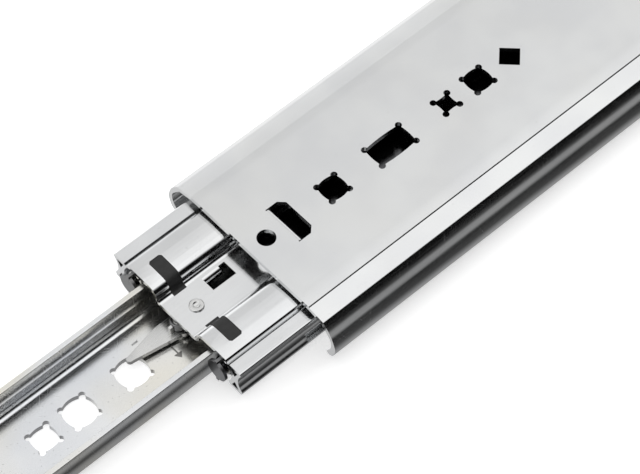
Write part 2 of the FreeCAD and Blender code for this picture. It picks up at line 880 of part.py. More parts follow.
def make_inner_rail(doc, size):
    """Drawer member: the narrow channel that runs inside the middle rail."""
    body = new_body(doc, "inner_rail")
    section = new_sketch(body, "Section", "YZ_Plane")
    draw_outline(section, with_mirror(inner_section(size)))
    pad(body, section, "Profile", size["rail_length"], reverse=True)
    place(body, inner_front(size))
    cut_windows(body, plain(0), INNER_WINDOWS)
    rounds = new_sketch(body, "RoundHoles", "XY_Plane")
    for steps in DRAWER_HOLE_STEPS:
        along = -size["drawer_hole_setback"] - size["drawer_hole_pitch"] * steps
        draw_circle(rounds, along, plain(0), size["drawer_hole_radius"])
    draw_circle(rounds, -size["pivot_setback"], size["pivot_across"], size["pivot_radius"])
    draw_circle(rounds, -size["pivot_setback"] - size["long_leg"], size["pivot_across"] - size["coil_radius"],
                size["wire_diameter"] / 2)
    for side in (1, -1):
        draw_circle(rounds, -size["rail_length"] + size["stop_rivet_along"], size["stop_rivet_across"] * side,
                    size["stop_rivet_radius"])
    pocket(body, rounds, "RoundPocket")
    dent = new_sketch(body, "Dent", "XY_Plane")
    near = -size["dent_setback"]
    low = size["dent_across"] - size["dent_width"] / 2
    draw_rectangle(dent, (near - size["dent_length"], low), (near, low + size["dent_width"]))
    pocket(body, dent, "DentPocket")
    arrow = new_sketch(body, "Arrow", "XY_Plane", inner_web_top(size))
    draw_outline(arrow, [(plain(step) - size["mark_setback"], plain(rise) + size["mark_across"])
                         for step, rise in ARROW_PLAN])
    pocket(body, arrow, "ArrowPocket", size["mark_depth"])
    return body


# ---------------------------------------------------------------- release lever


def make_lever(doc, size):
    """Release lever: thumb arm in front of its pivot, nosed arm behind it."""
    body = new_body(doc, "release_lever")
    top = lever_top(size)
    plan = new_sketch(body, "Plan", "XY_Plane", top)
    draw_outline(plan, [tuple(plain(value) for value in corner[:3]) + tuple(corner[3:])
                        for corner in LEVER_PLAN])
    draw_circle(plan, plain(0), plain(0), size["pivot_radius"] + size["pivot_play"])
    pad(body, plan, "Plate", size["lever_gauge"], reverse=True)
    middle = top - size["lever_gauge"] / 2
    upstands = new_sketch(body, "Upstands", "XY_Plane", middle)
    for low, high in (LEVER_NOSE, LEVER_EAR):
        draw_rectangle(upstands, [plain(value) for value in low], [plain(value) for value in high])
    plate_bottom = catch_plate_top(size) - size["plate_gauge"]
    pad(body, upstands, "UpstandPad", plate_bottom - size["nose_clearance"] - middle)
    place(body, inner_front(size) - size["pivot_setback"], size["pivot_across"])
    return body


def make_lever_pivot(doc, size):
    """Shouldered rivet that the lever turns on; its foot is flush with the drawer face."""
    body = new_body(doc, "lever_pivot")
    sketch = new_sketch(body, "Section", "XZ_Plane")
    shank = size["pivot_radius"]
    collar = shank + size["pivot_collar"]
    web = inner_web_top(size)
    seat = lever_top(size) - size["lever_gauge"] - size["pivot_seat_play"]
    head = catch_plate_top(size) - size["plate_gauge"] - size["pivot_head_clearance"]
    neck = head - size["pivot_head_gauge"]
    rim = shank + size["pivot_head_rim"]
    edge = size["edge_break"]
    draw_outline(sketch, [(plain(0), -size["slide_thickness"]), (shank, -size["slide_thickness"]), (shank, web),
                          (collar, web), (collar, seat), (shank, seat), (shank, neck), (rim, neck),
                          (rim, head - edge), (rim - edge, head), (plain(0), head)])
    turn_round(body, sketch)
    place(body, inner_front(size) - size["pivot_setback"], size["pivot_across"])
    return body


def make_lever_spring(doc, size):
    """Torsion spring round the pivot: coil, a leg into the web and a leg beside the lever's ear."""
    wire = size["wire_diameter"].value / 2
    radius = size["coil_radius"].value
    pitch = size["wire_diameter"].value + size["coil_gap"].value
    height = pitch * (size["coil_turns"].value + 0.5)
    rise = lever_top(size).value + wire + size["coil_seat"].value
    drop = rise + size["slide_thickness"].value - size["leg_setback"].value
    start = FreeCAD.Vector(0, -radius, 0)
    ring = Part.Wire([Part.makeCircle(wire, start, FreeCAD.Vector(1, 0, 0))])
    helix = Part.makeHelix(pitch, height, radius)
    helix.rotate(FreeCAD.Vector(0, 0, 0), FreeCAD.Vector(0, 0, 1), -90)
    coil = Part.Wire(helix.Edges).makePipeShell([ring], True, True)
    # the long leg runs back from the coil, bends and goes down into the web
    back = -size["long_leg"].value
    bend = size["wire_diameter"].value
    slant = bend * math.sqrt(0.5)
    bend_start = FreeCAD.Vector(back + bend, -radius, 0)
    bend_middle = FreeCAD.Vector(back + bend - slant, -radius, slant - bend)
    bend_end = FreeCAD.Vector(back, -radius, -bend)
    foot = FreeCAD.Vector(back, -radius, -drop)
    route = Part.Wire([Part.LineSegment(start, bend_start).toShape(),
                       Part.Arc(bend_start, bend_middle, bend_end).toShape(),
                       Part.LineSegment(bend_end, foot).toShape()])
    long_leg = route.makePipeShell([ring], True, True)
    free_start = FreeCAD.Vector(0, radius, height)
    free_leg = Part.makeCylinder(wire, size["free_leg"].value, free_start, FreeCAD.Vector(1, 0, 0))
    shape = coil.fuse([long_leg, free_leg])
    shape.translate(FreeCAD.Vector(0, 0, rise))
    return solid_feature(doc, "lever_spring", shape, inner_front(size) - size["pivot_setback"],
                         size["pivot_across"])


# ---------------------------------------------------------------- stop at the inner rail's rear end


def make_inner_stop(doc, size):
    """Steel angle at the rear end of the inner rail that ends its travel."""
    body = new_body(doc, "inner_stop")
    section = new_sketch(body, "Section", "XZ_Plane", -size["stop_half"])
    web = inner_web_top(size)
    thick = size["stop_gauge"]
    back = size["stop_setback"]
    face = back + thick
    toe = back + size["stop_foot"]
    bend = size["stop_bend"]
    draw_outline(section, [(back, web), (toe, web), (toe, web + thick), (face + bend, web + thick),
                           (face, web + thick + bend), (face, web + size["stop_height"]),
                           (back, web + size["stop_height"])])
    pad(body, section, "Profile", size["stop_half"] * 2)
    rounds = new_sketch(body, "RivetHoles", "XY_Plane")
    for side in (1, -1):
        draw_circle(rounds, size["stop_rivet_along"], size["stop_rivet_across"] * side,
                    size["stop_rivet_radius"])
    pocket(body, rounds, "RivetPocket")
    place(body, inner_front(size) - size["rail_length"])
    return body


def make_inner_stop_rivets(doc, size):
    """Two rivets that hold the stop: a shank through web and foot with a coned head on top."""
    radius = size["stop_rivet_radius"].value
    bottom = -size["slide_thickness"].value
    seat = inner_web_top(size).value + size["stop_gauge"].value
    rim = radius + size["stop_rivet_rim"].value
    crown = radius + size["rivet_crown"].value
    rivets = []
    for side in (1, -1):
        base = FreeCAD.Vector(size["stop_rivet_along"].value, size["stop_rivet_across"].value * side, bottom)
        shank = Part.makeCylinder(radius, seat - bottom, base)
        head = Part.makeCone(rim, crown, size["stop_rivet_head"].value, FreeCAD.Vector(base.x, base.y, seat))
        rivets.append(shank.fuse(head).removeSplitter())
    return solid_feature(doc, "inner_stop_rivets", Part.makeCompound(rivets),
                         inner_front(size) - size["rail_length"])


# ---------------------------------------------------------------- balls and retainers


def make_retainer(doc, size, label, across, front, lead_lug):
    """Strip that keeps one row of balls evenly spaced."""
    body = new_body(doc, label)
    section = new_sketch(body, "Section", "YZ_Plane")
    half = size["cage_gauge"] / 2
    rise = race_places(size)["half_cage"]
    middle = -race_places(size)["depth"]
    draw_rectangle(section, (across - half, middle - rise), (across + half, middle + rise))
    pad(body, section, "Strip", cage_length(size), reverse=True)
    hole = new_sketch(body, "BallHole", "XZ_Plane")
    draw_circle(hole, -size["ball_pitch"] / 2, middle, size["ball_diameter"] / 2 + size["cage_play"])
    cut = pocket(body, hole, "BallPocket", size["slide_width"] + 2 * SPARE, both_ways=True)
    doc.recompute()
    row = body.newObject("PartDesign::LinearPattern", "BallRow")
    row.Originals = [cut]
    row.Direction = (hole, ["H_Axis"])
    row.Reversed = True
    bind(row, "Length", size["ball_pitch"] * (size["ball_count"] - 1))
    bind(row, "Occurrences", size["ball_count"])
    body.Tip = row
    if lead_lug:
        lug = new_sketch(body, "Lug", "YZ_Plane")
        draw_circle(lug, across, middle, size["ball_diameter"] / 2 - size["lug_clearance"])
        pad(body, lug, "LugPad", size["lug_gauge"], reverse=True)
    place(body, front)
    return body


def make_balls(doc, size, label, across, front):
    """One row of balls, evenly spaced at the retainer's pitch."""
    radius = size["ball_diameter"].value / 2
    depth = race_places(size)["depth"].value
    balls = []
    for index in range(int(size["ball_count"].value)):
        along = -size["ball_pitch"].value * (index + 0.5)
        balls.append(Part.makeSphere(radius, FreeCAD.Vector(along, across.value, -depth)))
    return solid_feature(doc, label, Part.makeCompound(balls), front)


# ---------------------------------------------------------------- rear bumper


def make_rear_bumper(doc, size):
    """Rubber block at the rear end of the outer rail that the middle rail closes against."""
    body = new_body(doc, "rear_bumper")
    section = new_sketch(body, "Section", "YZ_Plane")
    half = size["bumper_half"]
    low = bumper_bottom(size)
    top = -size["outer_gauge"]
    soft = size["bumper_round"]
    draw_outline(section, [(half, top), (half, low + soft, soft, -1), (half - soft, low),
                           (-half + soft, low, soft, -1), (-half, low + soft), (-half, top)])
    pad(body, section, "Block", size["bumper_length"])
    bore = new_sketch(body, "PinHole", "XY_Plane")
    draw_circle(bore, size["bumper_length"] / 2, plain(0), size["bumper_pin_radius"])
    pocket(body, bore, "PinPocket")
    place(body, outer_front(size) - size["rail_length"])
    return body


def make_bumper_rivet(doc, size):
    """Rivet that holds the rear bumper to the outer rail's web."""
    body = new_body(doc, "bumper_rivet")
    sketch = new_sketch(body, "Section", "XZ_Plane")
    low = bumper_bottom(size)
    tip = low - size["bumper_pin_head"]
    head = size["bumper_pin_head_radius"]
    shank = size["bumper_pin_radius"]
    edge = size["edge_break"]
    sunk = plain(-0.05)
    draw_outline(sketch, [(plain(0), tip), (head - edge, tip), (head, tip + edge), (head, low), (shank, low),
                          (shank, sunk), (plain(0), sunk)])
    turn_round(body, sketch)
    place(body, outer_front(size) - size["rail_length"] + size["bumper_length"] / 2)
    return body


# ---------------------------------------------------------------- assembly


def build(doc):
    size = fill_sheet(doc)
    race = race_places(size)
    parts = [
        make_outer_rail(doc, size),
        make_middle_rail(doc, size),
        make_inner_rail(doc, size),
        make_catch_plate(doc, size),
        make_catch_rivet(doc, size),
        make_lever(doc, size),
        make_lever_pivot(doc, size),
        make_lever_spring(doc, size),
        make_inner_stop(doc, size),
        make_inner_stop_rivets(doc, size),
        make_rear_bumper(doc, size),
        make_bumper_rivet(doc, size),
    ]
    inner_cage_front = middle_front(size) + size["inner_cage_lead"]
    for side, name in ((-1, "left"), (1, "right")):
        outer_row = race["outer_ball"] * side
        inner_row = race["inner_ball"] * side
        parts += [
            make_front_pad(doc, size, "front_pad_" + name, side),
            make_retainer(doc, size, "outer_retainer_" + name, outer_row, outer_cage_front(size), False),
            make_balls(doc, size, "outer_balls_" + name, outer_row, outer_cage_front(size)),
            make_retainer(doc, size, "inner_retainer_" + name, inner_row, inner_cage_front, True),
            make_balls(doc, size, "inner_balls_" + name, inner_row, inner_cage_front),
        ]
    doc.recompute()
    return parts


def check(doc, parts):
    """Stop if any object of the document failed, or any sub-part's shape is missing or invalid."""
    for obj in doc.Objects:
        if "Invalid" in obj.State or "Error" in obj.State:
            raise RuntimeError("{} failed: {}".format(obj.Name, obj.State))
    for part in parts:
        if part.Shape.isNull() or not part.Shape.isValid():
            raise RuntimeError("{} has no valid shape".format(part.Label))


def main():
    doc = FreeCAD.newDocument("DrawerSlide")
    parts = build(doc)
    check(doc, parts)
    os.makedirs("parts", exist_ok=True)
    for part in parts:
        part.Shape.exportStep("parts/{}.step".format(part.Label))
        print("{:24s} {:12.1f} mm3".format(part.Label, part.Shape.Volume))


main()
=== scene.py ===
"""Studio looks for a three-section ball-bearing drawer slide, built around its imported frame.

The frame holds every rail, ball and rivet in its real place.  This script dresses each of
them in a finish.  The rails, the larger pressings and the rubber pieces are replaced by finer
copies with rolled edges.  A pale floor, a light tent and a camera stand round them.  Lengths
are metres.
"""
import logging
import math
from dataclasses import dataclass, field
from enum import Enum

import bpy
from mathutils import Matrix, Vector


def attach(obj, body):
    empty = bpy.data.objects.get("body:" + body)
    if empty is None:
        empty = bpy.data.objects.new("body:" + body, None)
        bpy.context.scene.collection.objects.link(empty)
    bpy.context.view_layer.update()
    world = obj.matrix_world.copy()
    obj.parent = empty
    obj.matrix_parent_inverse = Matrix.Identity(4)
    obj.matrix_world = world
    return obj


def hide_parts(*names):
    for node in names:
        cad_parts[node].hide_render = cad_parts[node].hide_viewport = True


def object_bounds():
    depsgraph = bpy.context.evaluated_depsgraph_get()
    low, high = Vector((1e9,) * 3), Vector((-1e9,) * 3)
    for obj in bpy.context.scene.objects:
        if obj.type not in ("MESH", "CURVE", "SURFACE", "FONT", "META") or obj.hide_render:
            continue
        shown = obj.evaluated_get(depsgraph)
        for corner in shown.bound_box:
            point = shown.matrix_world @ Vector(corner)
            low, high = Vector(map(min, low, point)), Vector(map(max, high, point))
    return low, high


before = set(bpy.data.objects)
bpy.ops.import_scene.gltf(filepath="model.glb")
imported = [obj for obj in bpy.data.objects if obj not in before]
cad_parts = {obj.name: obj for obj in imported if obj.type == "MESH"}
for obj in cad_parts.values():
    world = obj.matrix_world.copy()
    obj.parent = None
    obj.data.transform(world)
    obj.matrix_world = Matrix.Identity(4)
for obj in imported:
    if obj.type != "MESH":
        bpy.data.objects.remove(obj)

CAD_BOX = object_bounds()
MM = 0.001
SHARP_EDGE = math.radians(32)
FLAT_JOIN = math.radians(0.4)
WELD_MM = 0.002
SENSOR_MM = 36.0

log = logging.getLogger("drawer_slide")


# ---------------------------------------------------------------- shared helpers


def srgb(code: str) -> tuple[float, float, float, float]:
    """Turn an sRGB hex code into a linear colour.

    Args:
        code: Six hex digits, such as "d9dadb".

    Returns:
        Linear red, green, blue and an alpha of one.
    """
    channels = [int(code[index:index + 2], 16) / 255 for index in (0, 2, 4)]
    linear = [c / 12.92 if c <= 0.04045 else ((c + 0.055) / 1.055) ** 2.4 for c in channels]
    return (*linear, 1.0)


def per_metre(millimetres: float) -> float:
    """Texture scale for a pattern that repeats at a spacing in millimetres."""
    return 1.0 / (millimetres * MM)


def add_node(tree: bpy.types.NodeTree, kind: str, inputs: dict | None = None,
             **settings: object) -> bpy.types.Node:
    """Add one node with its settings and links.

    Args:
        tree: The node tree that the node joins.
        kind: The node's Blender type name.
        inputs: Socket name or index to a value, or to an output socket to link.
        settings: Attributes set on the node itself.

    Returns:
        The new node.
    """
    node = tree.nodes.new(kind)
    for name, value in settings.items():
        setattr(node, name, value)
    for socket, value in (inputs or {}).items():
        if isinstance(value, bpy.types.NodeSocket):
            tree.links.new(value, node.inputs[socket])
        else:
            node.inputs[socket].default_value = value
    return node


def ramp(tree: bpy.types.NodeTree, factor: bpy.types.NodeSocket, stops: list[tuple[float, str]],
         smooth: bool = False) -> bpy.types.NodeSocket:
    """Map a factor to colours.

    Args:
        tree: The node tree.
        factor: The output socket that drives the ramp.
        stops: Places from 0 to 1 with sRGB hex codes, in order.
        smooth: Ease between the stops instead of going straight.

    Returns:
        The ramp's colour output.
    """
    node = add_node(tree, "ShaderNodeValToRGB", {"Fac": factor})
    node.color_ramp.interpolation = "EASE" if smooth else "LINEAR"
    elements = node.color_ramp.elements
    while len(elements) < len(stops):
        elements.new(0.5)
    for element, (place, code) in zip(elements, stops):
        element.position = place
        element.color = srgb(code)
    return node.outputs["Color"]


# ---------------------------------------------------------------- finishes


class Wear(Enum):
    """How much handling a zinc-plated surface shows."""

    FRESH = 0.25
    HANDLED = 0.55
    RUBBED = 0.9


@dataclass(frozen=True)
class ZincPlate:
    """Cold-rolled steel strip, bright zinc plated after pressing.

    The strip's rolling grain runs along the rail and stretches reflections across it; the
    thin plating leaves faint bluish and yellowish patches, specks and fine scratches.
    """

    name: str
    light: str = "dfe0e1"
    deep: str = "cfd0d2"
    tint: str = "d9d6cf"
    tint_share: float = 0.25
    roughness: float = 0.2
    grain_mm: float = 0.22
    grain_depth: float = 0.04
    cloud_mm: float = 23.0
    tint_mm: float = 31.0
    speck_mm: float = 0.9
    scratch_mm: float = 0.3
    line_mm: float = 1.1
    line_depth: float = 0.0
    # painted shade: where a near-black colour on the upper face starts, fades and how high it reaches, in
    # millimetres
    painted_shade_from_mm: float | None = None
    painted_shade_fade_mm: float = 6.0
    painted_shade_ragged_mm: float = 4.0
    painted_shade_upper_face_mm: tuple[float, float] = (-8.8, -8.3)
    painted_shade_share: float = 0.88
    stamp_floor_mm: float | None = None
    stamp_share: float = 0.8
    wear: Wear = Wear.FRESH

    def build(self) -> bpy.types.Material:
        """Make the plating's material.

        Returns:
            The new material.
        """
        material = bpy.data.materials.new(self.name)
        material.use_nodes = True
        tree = material.node_tree
        shader = tree.nodes["Principled BSDF"]
        place = add_node(tree, "ShaderNodeTexCoord").outputs["Object"]
        # the rolling grain is about sixty times longer than it is wide
        along = add_node(tree, "ShaderNodeMapping", {"Vector": place, "Scale": (1 / 60, 1, 1)})
        grain = add_node(tree, "ShaderNodeTexNoise", {
            "Vector": along.outputs[0], "Scale": per_metre(self.grain_mm), "Detail": 3.0}).outputs["Fac"]
        cloud = add_node(tree, "ShaderNodeTexNoise", {
            "Vector": place, "Scale": per_metre(self.cloud_mm), "Detail": 2.0}).outputs["Fac"]
        speck = add_node(tree, "ShaderNodeTexNoise", {
            "Vector": place, "Scale": per_metre(self.speck_mm), "Detail": 1.0}).outputs["Fac"]
        specks = add_node(tree, "ShaderNodeMapRange", {
            "Value": speck, "From Min": 0.70, "From Max": 0.78}).outputs["Result"]
        scratches = self.scratches(tree, place)
        base = ramp(tree, cloud, [(0.35, self.deep), (0.65, self.light)], smooth=True)
        tinted = add_node(tree, "ShaderNodeMix", {
            "Factor": add_node(tree, "ShaderNodeMapRange", {
                "Value": add_node(tree, "ShaderNodeTexNoise", {
                    "Vector": place, "Scale": per_metre(self.tint_mm), "Detail": 1.0}).outputs["Fac"],
                "From Min": 0.45, "From Max": 0.7, "To Max": self.tint_share}).outputs["Result"],
            6: base, 7: srgb(self.tint)}, data_type="RGBA").outputs[2]
        marked = add_node(tree, "ShaderNodeMix", {
            "Factor": add_node(tree, "ShaderNodeMath", {
                0: specks, 1: self.wear.value * 0.5}, operation="MULTIPLY").outputs[0],
            6: tinted, 7: srgb("77787a")}, data_type="RGBA").outputs[2]
        # painted shade: the upper face behind the front end is darkened to stand in for the shade inside the
        # rail round it
        if self.painted_shade_from_mm is not None:
            marked = self.paint_shade(tree, place, marked)
        # the floor of the inner rail's stamped marks is coloured darker
        if self.stamp_floor_mm is not None:
            marked = self.darken_stamp_floor(tree, place, marked)
        rough = add_node(tree, "ShaderNodeMapRange", {
            "Value": grain, "From Min": 0.3, "From Max": 0.7,
            "To Min": self.roughness - 0.04, "To Max": self.roughness + 0.06}).outputs["Result"]
        rough = add_node(tree, "ShaderNodeMath", {
            0: scratches, 1: self.wear.value * 0.25, 2: rough}, operation="MULTIPLY_ADD").outputs[0]
        height = add_node(tree, "ShaderNodeMath", {
            0: scratches, 1: -0.6, 2: grain}, operation="MULTIPLY_ADD").outputs[0]
        # die lines from drawing the strip, about a millimetre apart and as long as the rail
        lines = add_node(tree, "ShaderNodeTexNoise", {
            "Vector": add_node(tree, "ShaderNodeMapping", {
                "Vector": place, "Scale": (1 / 400, 1, 1)}).outputs[0],
            "Scale": per_metre(self.line_mm), "Detail": 1.0}).outputs["Fac"]
        height = add_node(tree, "ShaderNodeMath", {
            0: lines, 1: self.line_depth, 2: height}, operation="MULTIPLY_ADD").outputs[0]
        bump = add_node(tree, "ShaderNodeBump", {
            "Height": height, "Strength": self.grain_depth, "Distance": 0.05 * MM}).outputs[0]
        shader.inputs["Metallic"].default_value = 1.0
        tree.links.new(marked, shader.inputs["Base Color"])
        tree.links.new(rough, shader.inputs["Roughness"])
        tree.links.new(bump, shader.inputs["Normal"])
        return material

    def darken_stamp_floor(self, tree: bpy.types.NodeTree, place: bpy.types.NodeSocket,
                   colour: bpy.types.NodeSocket) -> bpy.types.NodeSocket:
        """Darker colour on the floor of a stamped mark.

        Args:
            tree: The material's node tree.
            place: The object coordinates.
            colour: The clean plating's colour.

        Returns:
            The colour, darker on the stamp's floor.
        """
        level = add_node(tree, "ShaderNodeSeparateXYZ", {0: place}).outputs["Z"]
        off = add_node(tree, "ShaderNodeMath", {
            0: level, 1: -self.stamp_floor_mm * MM}, operation="ADD").outputs[0]
        away = add_node(tree, "ShaderNodeMath", {0: off}, operation="ABSOLUTE").outputs[0]
        share = add_node(tree, "ShaderNodeMapRange", {
            "Value": away, "From Min": 0.04 * MM, "From Max": 0.12 * MM,
            "To Min": self.stamp_share, "To Max": 0.0}).outputs[0]
        # a darker grey mixed in on the stamped mark's floor
        return add_node(tree, "ShaderNodeMix", {
            "Factor": share, 6: colour, 7: srgb("4e4d4b")}, data_type="RGBA").outputs[2]

    def paint_shade(self, tree: bpy.types.NodeTree, place: bpy.types.NodeSocket,
               colour: bpy.types.NodeSocket) -> bpy.types.NodeSocket:
        """Painted shade on the upper face: a near-black colour that stands in for the shade inside the rail
        round it.

        Args:
            tree: The material's node tree.
            place: The object coordinates.
            colour: The clean plating's colour.

        Returns:
            The colour with the painted shade on it.
        """
        axes = add_node(tree, "ShaderNodeSeparateXYZ", {0: place}).outputs
        shade_edge_noise = add_node(tree, "ShaderNodeTexNoise", {
            "Vector": place, "Scale": per_metre(4.0), "Detail": 3.0}).outputs["Fac"]
        edge = add_node(tree, "ShaderNodeMath", {
            0: shade_edge_noise, 1: self.painted_shade_ragged_mm * MM, 2: axes["X"]}, operation="MULTIPLY_ADD").outputs[0]
        behind = add_node(tree, "ShaderNodeMapRange", {
            "Value": edge, "From Min": self.painted_shade_from_mm * MM,
            "From Max": (self.painted_shade_from_mm - self.painted_shade_fade_mm) * MM}).outputs[0]
        above = add_node(tree, "ShaderNodeMapRange", {
            "Value": axes["Z"], "From Min": self.painted_shade_upper_face_mm[0] * MM,
            "From Max": self.painted_shade_upper_face_mm[1] * MM}).outputs[0]
        share = add_node(tree, "ShaderNodeMath", {0: behind, 1: above}, operation="MULTIPLY").outputs[0]
        share = add_node(tree, "ShaderNodeMath", {
            0: share, 1: self.painted_shade_share}, operation="MULTIPLY").outputs[0]
        # the painted shade's near-black colour
        return add_node(tree, "ShaderNodeMix", {
            "Factor": share, 6: colour, 7: srgb("2b2b2d")}, data_type="RGBA").outputs[2]

    def scratches(self, tree: bpy.types.NodeTree, place: bpy.types.NodeSocket) -> bpy.types.NodeSocket:
        """Fine, short scratches in two directions.

        Args:
            tree: The material's node tree.
            place: The object coordinates.

        Returns:
            A socket that is one in a scratch and zero elsewhere.
        """
        lines = []
        for angle in (math.radians(33), math.radians(-52)):
            turned = add_node(tree, "ShaderNodeMapping", {
                "Vector": place, "Rotation": (0, 0, angle)}).outputs[0]
            stretched = add_node(tree, "ShaderNodeMapping", {
                "Vector": turned, "Scale": (1 / 18, 1, 1 / 18)}).outputs[0]
            noise = add_node(tree, "ShaderNodeTexNoise", {
                "Vector": stretched, "Scale": per_metre(self.scratch_mm), "Detail": 0.0}).outputs["Fac"]
            lines.append(add_node(tree, "ShaderNodeMapRange", {
                "Value": noise, "From Min": 0.76, "From Max": 0.82}).outputs["Result"])
        return add_node(tree, "ShaderNodeMath", {0: lines[0], 1: lines[1]}, operation="MAXIMUM").outputs[0]


@dataclass(frozen=True)
class Rubber:
    """Moulded nitrile rubber, matt black with the mould's fine grain."""

    name: str
    colour: str = "161616"
    worn: str = "222222"
    roughness: float = 0.55

    def build(self) -> bpy.types.Material:
        """Make the rubber's material.

        Returns:
            The new material.
        """
        material = bpy.data.materials.new(self.name)
        material.use_nodes = True
        tree = material.node_tree
        shader = tree.nodes["Principled BSDF"]
        place = add_node(tree, "ShaderNodeTexCoord").outputs["Object"]
        dust = add_node(tree, "ShaderNodeTexNoise", {
            "Vector": place, "Scale": per_metre(1.6), "Detail": 4.0}).outputs["Fac"]
        grain = add_node(tree, "ShaderNodeTexNoise", {
            "Vector": place, "Scale": per_metre(0.25), "Detail": 2.0}).outputs["Fac"]
        bump = add_node(tree, "ShaderNodeBump", {
            "Height": grain, "Strength": 0.3, "Distance": 0.04 * MM}).outputs[0]
        colour = ramp(tree, dust, [(0.4, self.colour), (0.75, self.worn)])
        tree.links.new(colour, shader.inputs["Base Color"])
        tree.links.new(bump, shader.inputs["Normal"])
        shader.inputs["Roughness"].default_value = self.roughness
        shader.inputs["IOR"].default_value = 1.52
        return material


@dataclass(frozen=True)
class BearingSteel:
    """Through-hardened chrome steel, ground and lapped to a mirror, with a film of oil."""

    name: str
    colour: str = "d4d5d8"
    roughness: float = 0.06

    def build(self) -> bpy.types.Material:
        """Make the balls' material.

        Returns:
            The new material.
        """
        material = bpy.data.materials.new(self.name)
        material.use_nodes = True
        tree = material.node_tree
        shader = tree.nodes["Principled BSDF"]
        place = add_node(tree, "ShaderNodeTexCoord").outputs["Object"]
        film = add_node(tree, "ShaderNodeTexNoise", {
            "Vector": place, "Scale": per_metre(2.5), "Detail": 3.0}).outputs["Fac"]
        colour = ramp(tree, film, [(0.35, "b9b7b0"), (0.6, self.colour)])
        rough = add_node(tree, "ShaderNodeMapRange", {
            "Value": film, "To Min": self.roughness, "To Max": self.roughness + 0.08}).outputs["Result"]
        tree.links.new(colour, shader.inputs["Base Color"])
        tree.links.new(rough, shader.inputs["Roughness"])
        shader.inputs["Metallic"].default_value = 1.0
        return material


def dress(names: list[str], material: bpy.types.Material) -> None:
    """Give CAD nodes a finish.

    Args:
        names: The nodes' names.
        material: The finish.
    """
    for name in names:
        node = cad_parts[name]
        node.data.materials.clear()
        node.data.materials.append(material)
        log.info("%s wears %s", name, material.name)


def remodel(node_name: str, body: str, radius_mm: float, segments: int,
            material: bpy.types.Material) -> None:
    """Replace a node by a finer piece: its facets joined, its edges rolled and its curves smooth.

    Args:
        node_name: The node that the piece stands for.
        body: The body that it rides on.
        radius_mm: How far an edge's rounding reaches.
        segments: Facets across the rounding.
        material: The finish.
    """
    piece = bpy.data.objects.new(f"fine_{node_name}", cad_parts[node_name].data.copy())
    bpy.context.scene.collection.objects.link(piece)
    bpy.ops.object.select_all(action="DESELECT")
    piece.select_set(True)
    bpy.context.view_layer.objects.active = piece
    bpy.ops.object.mode_set(mode="EDIT")
    bpy.ops.mesh.select_all(action="SELECT")
    bpy.ops.mesh.remove_doubles(threshold=WELD_MM * MM)
    bpy.ops.mesh.dissolve_limited(angle_limit=FLAT_JOIN)
    bpy.ops.object.mode_set(mode="OBJECT")
    bpy.ops.object.shade_smooth_by_angle(angle=SHARP_EDGE)
    bevel = piece.modifiers.new("rolled_edge", "BEVEL")
    bevel.width = radius_mm * MM
    bevel.segments = segments
    bevel.limit_method = "ANGLE"
    bevel.angle_limit = SHARP_EDGE
    bpy.ops.object.modifier_apply(modifier=bevel.name)
    # big flat faces keep their own direction, and the small bends between them turn smoothly
    weighted = piece.modifiers.new("flat_faces_lead", "WEIGHTED_NORMAL")
    weighted.keep_sharp = True
    bpy.ops.object.modifier_apply(modifier=weighted.name)
    piece.data.materials.clear()
    piece.data.materials.append(material)
    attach(piece, body)
    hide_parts(node_name)
    log.info("%s stands for %s in %s", piece.name, node_name, material.name)


# ---------------------------------------------------------------- sub-assemblies


@dataclass
class RailSet:
    """The three telescoping rails and the pressed pieces riveted to them."""

    edge_radius_mm: float = 0.14
    edge_segments: int = 2
    outer: ZincPlate = field(default_factory=lambda: ZincPlate(
        "bright_zinc_strip_outer", light="e2e3e3", deep="dcddde", tint_share=0.12, roughness=0.17))
    # the middle rail's plating carries painted shade on its upper face, from 5 mm behind its front end
    middle: ZincPlate = field(default_factory=lambda: ZincPlate(
        "bright_zinc_strip_middle_painted_shade", light="e6e7e8", deep="dfe0e1", tint_share=0.15, roughness=0.13,
        line_depth=6.0, painted_shade_from_mm=5.0))
    inner: ZincPlate = field(default_factory=lambda: ZincPlate(
        "passivated_zinc_strip_inner", light="ecedee", deep="e3e5e8", tint="e6dfca", tint_share=0.55,
        roughness=0.2, grain_depth=0.02, stamp_floor_mm=-17.45, wear=Wear.HANDLED))
    small: ZincPlate = field(default_factory=lambda: ZincPlate(
        "zinc_plated_pressings", light="dcdcdb", deep="c6c7c7", roughness=0.25, wear=Wear.HANDLED))

    def dress(self) -> None:
        """Give each rail and pressing its plating."""
        small = self.small.build()
        for node, body, slot, plating in (
                ("outer_rail", "outer", "zinc_rail", self.outer.build()),
                ("intermediate_rail", "intermediate", "zinc_rail", self.middle.build()),
                ("inner_rail", "inner", "zinc_rail", self.inner.build()),
                ("release_lever", "lever", "lever_steel", small),
                ("catch_rivet", "intermediate", "rivet_steel", small),
                ("catch_plate", "intermediate", "spring_steel", small),
                ("inner_stop", "inner", "spring_steel", small)):
            remodel(node, body, self.edge_radius_mm, self.edge_segments, plating)
        dress(["lever_pivot", "inner_stop_rivets", "bumper_rivet"], small)


@dataclass
class BallTrains:
    """Four rows of balls in their pressed retainers."""

    ball: BearingSteel = field(default_factory=lambda: BearingSteel("lapped_bearing_steel"))
    strip: ZincPlate = field(default_factory=lambda: ZincPlate(
        "pressed_retainer_strip", light="7b7c7e", deep="66676a", roughness=0.33, wear=Wear.RUBBED))

    def dress(self) -> None:
        """Give the balls and their retainers their finishes."""
        rows = [f"{stage}_balls_{side}" for stage in ("outer", "inner") for side in ("left", "right")]
        cages = [f"{stage}_retainer_{side}" for stage in ("outer", "inner") for side in ("left", "right")]
        dress(rows, self.ball.build())
        dress(cages, self.strip.build())


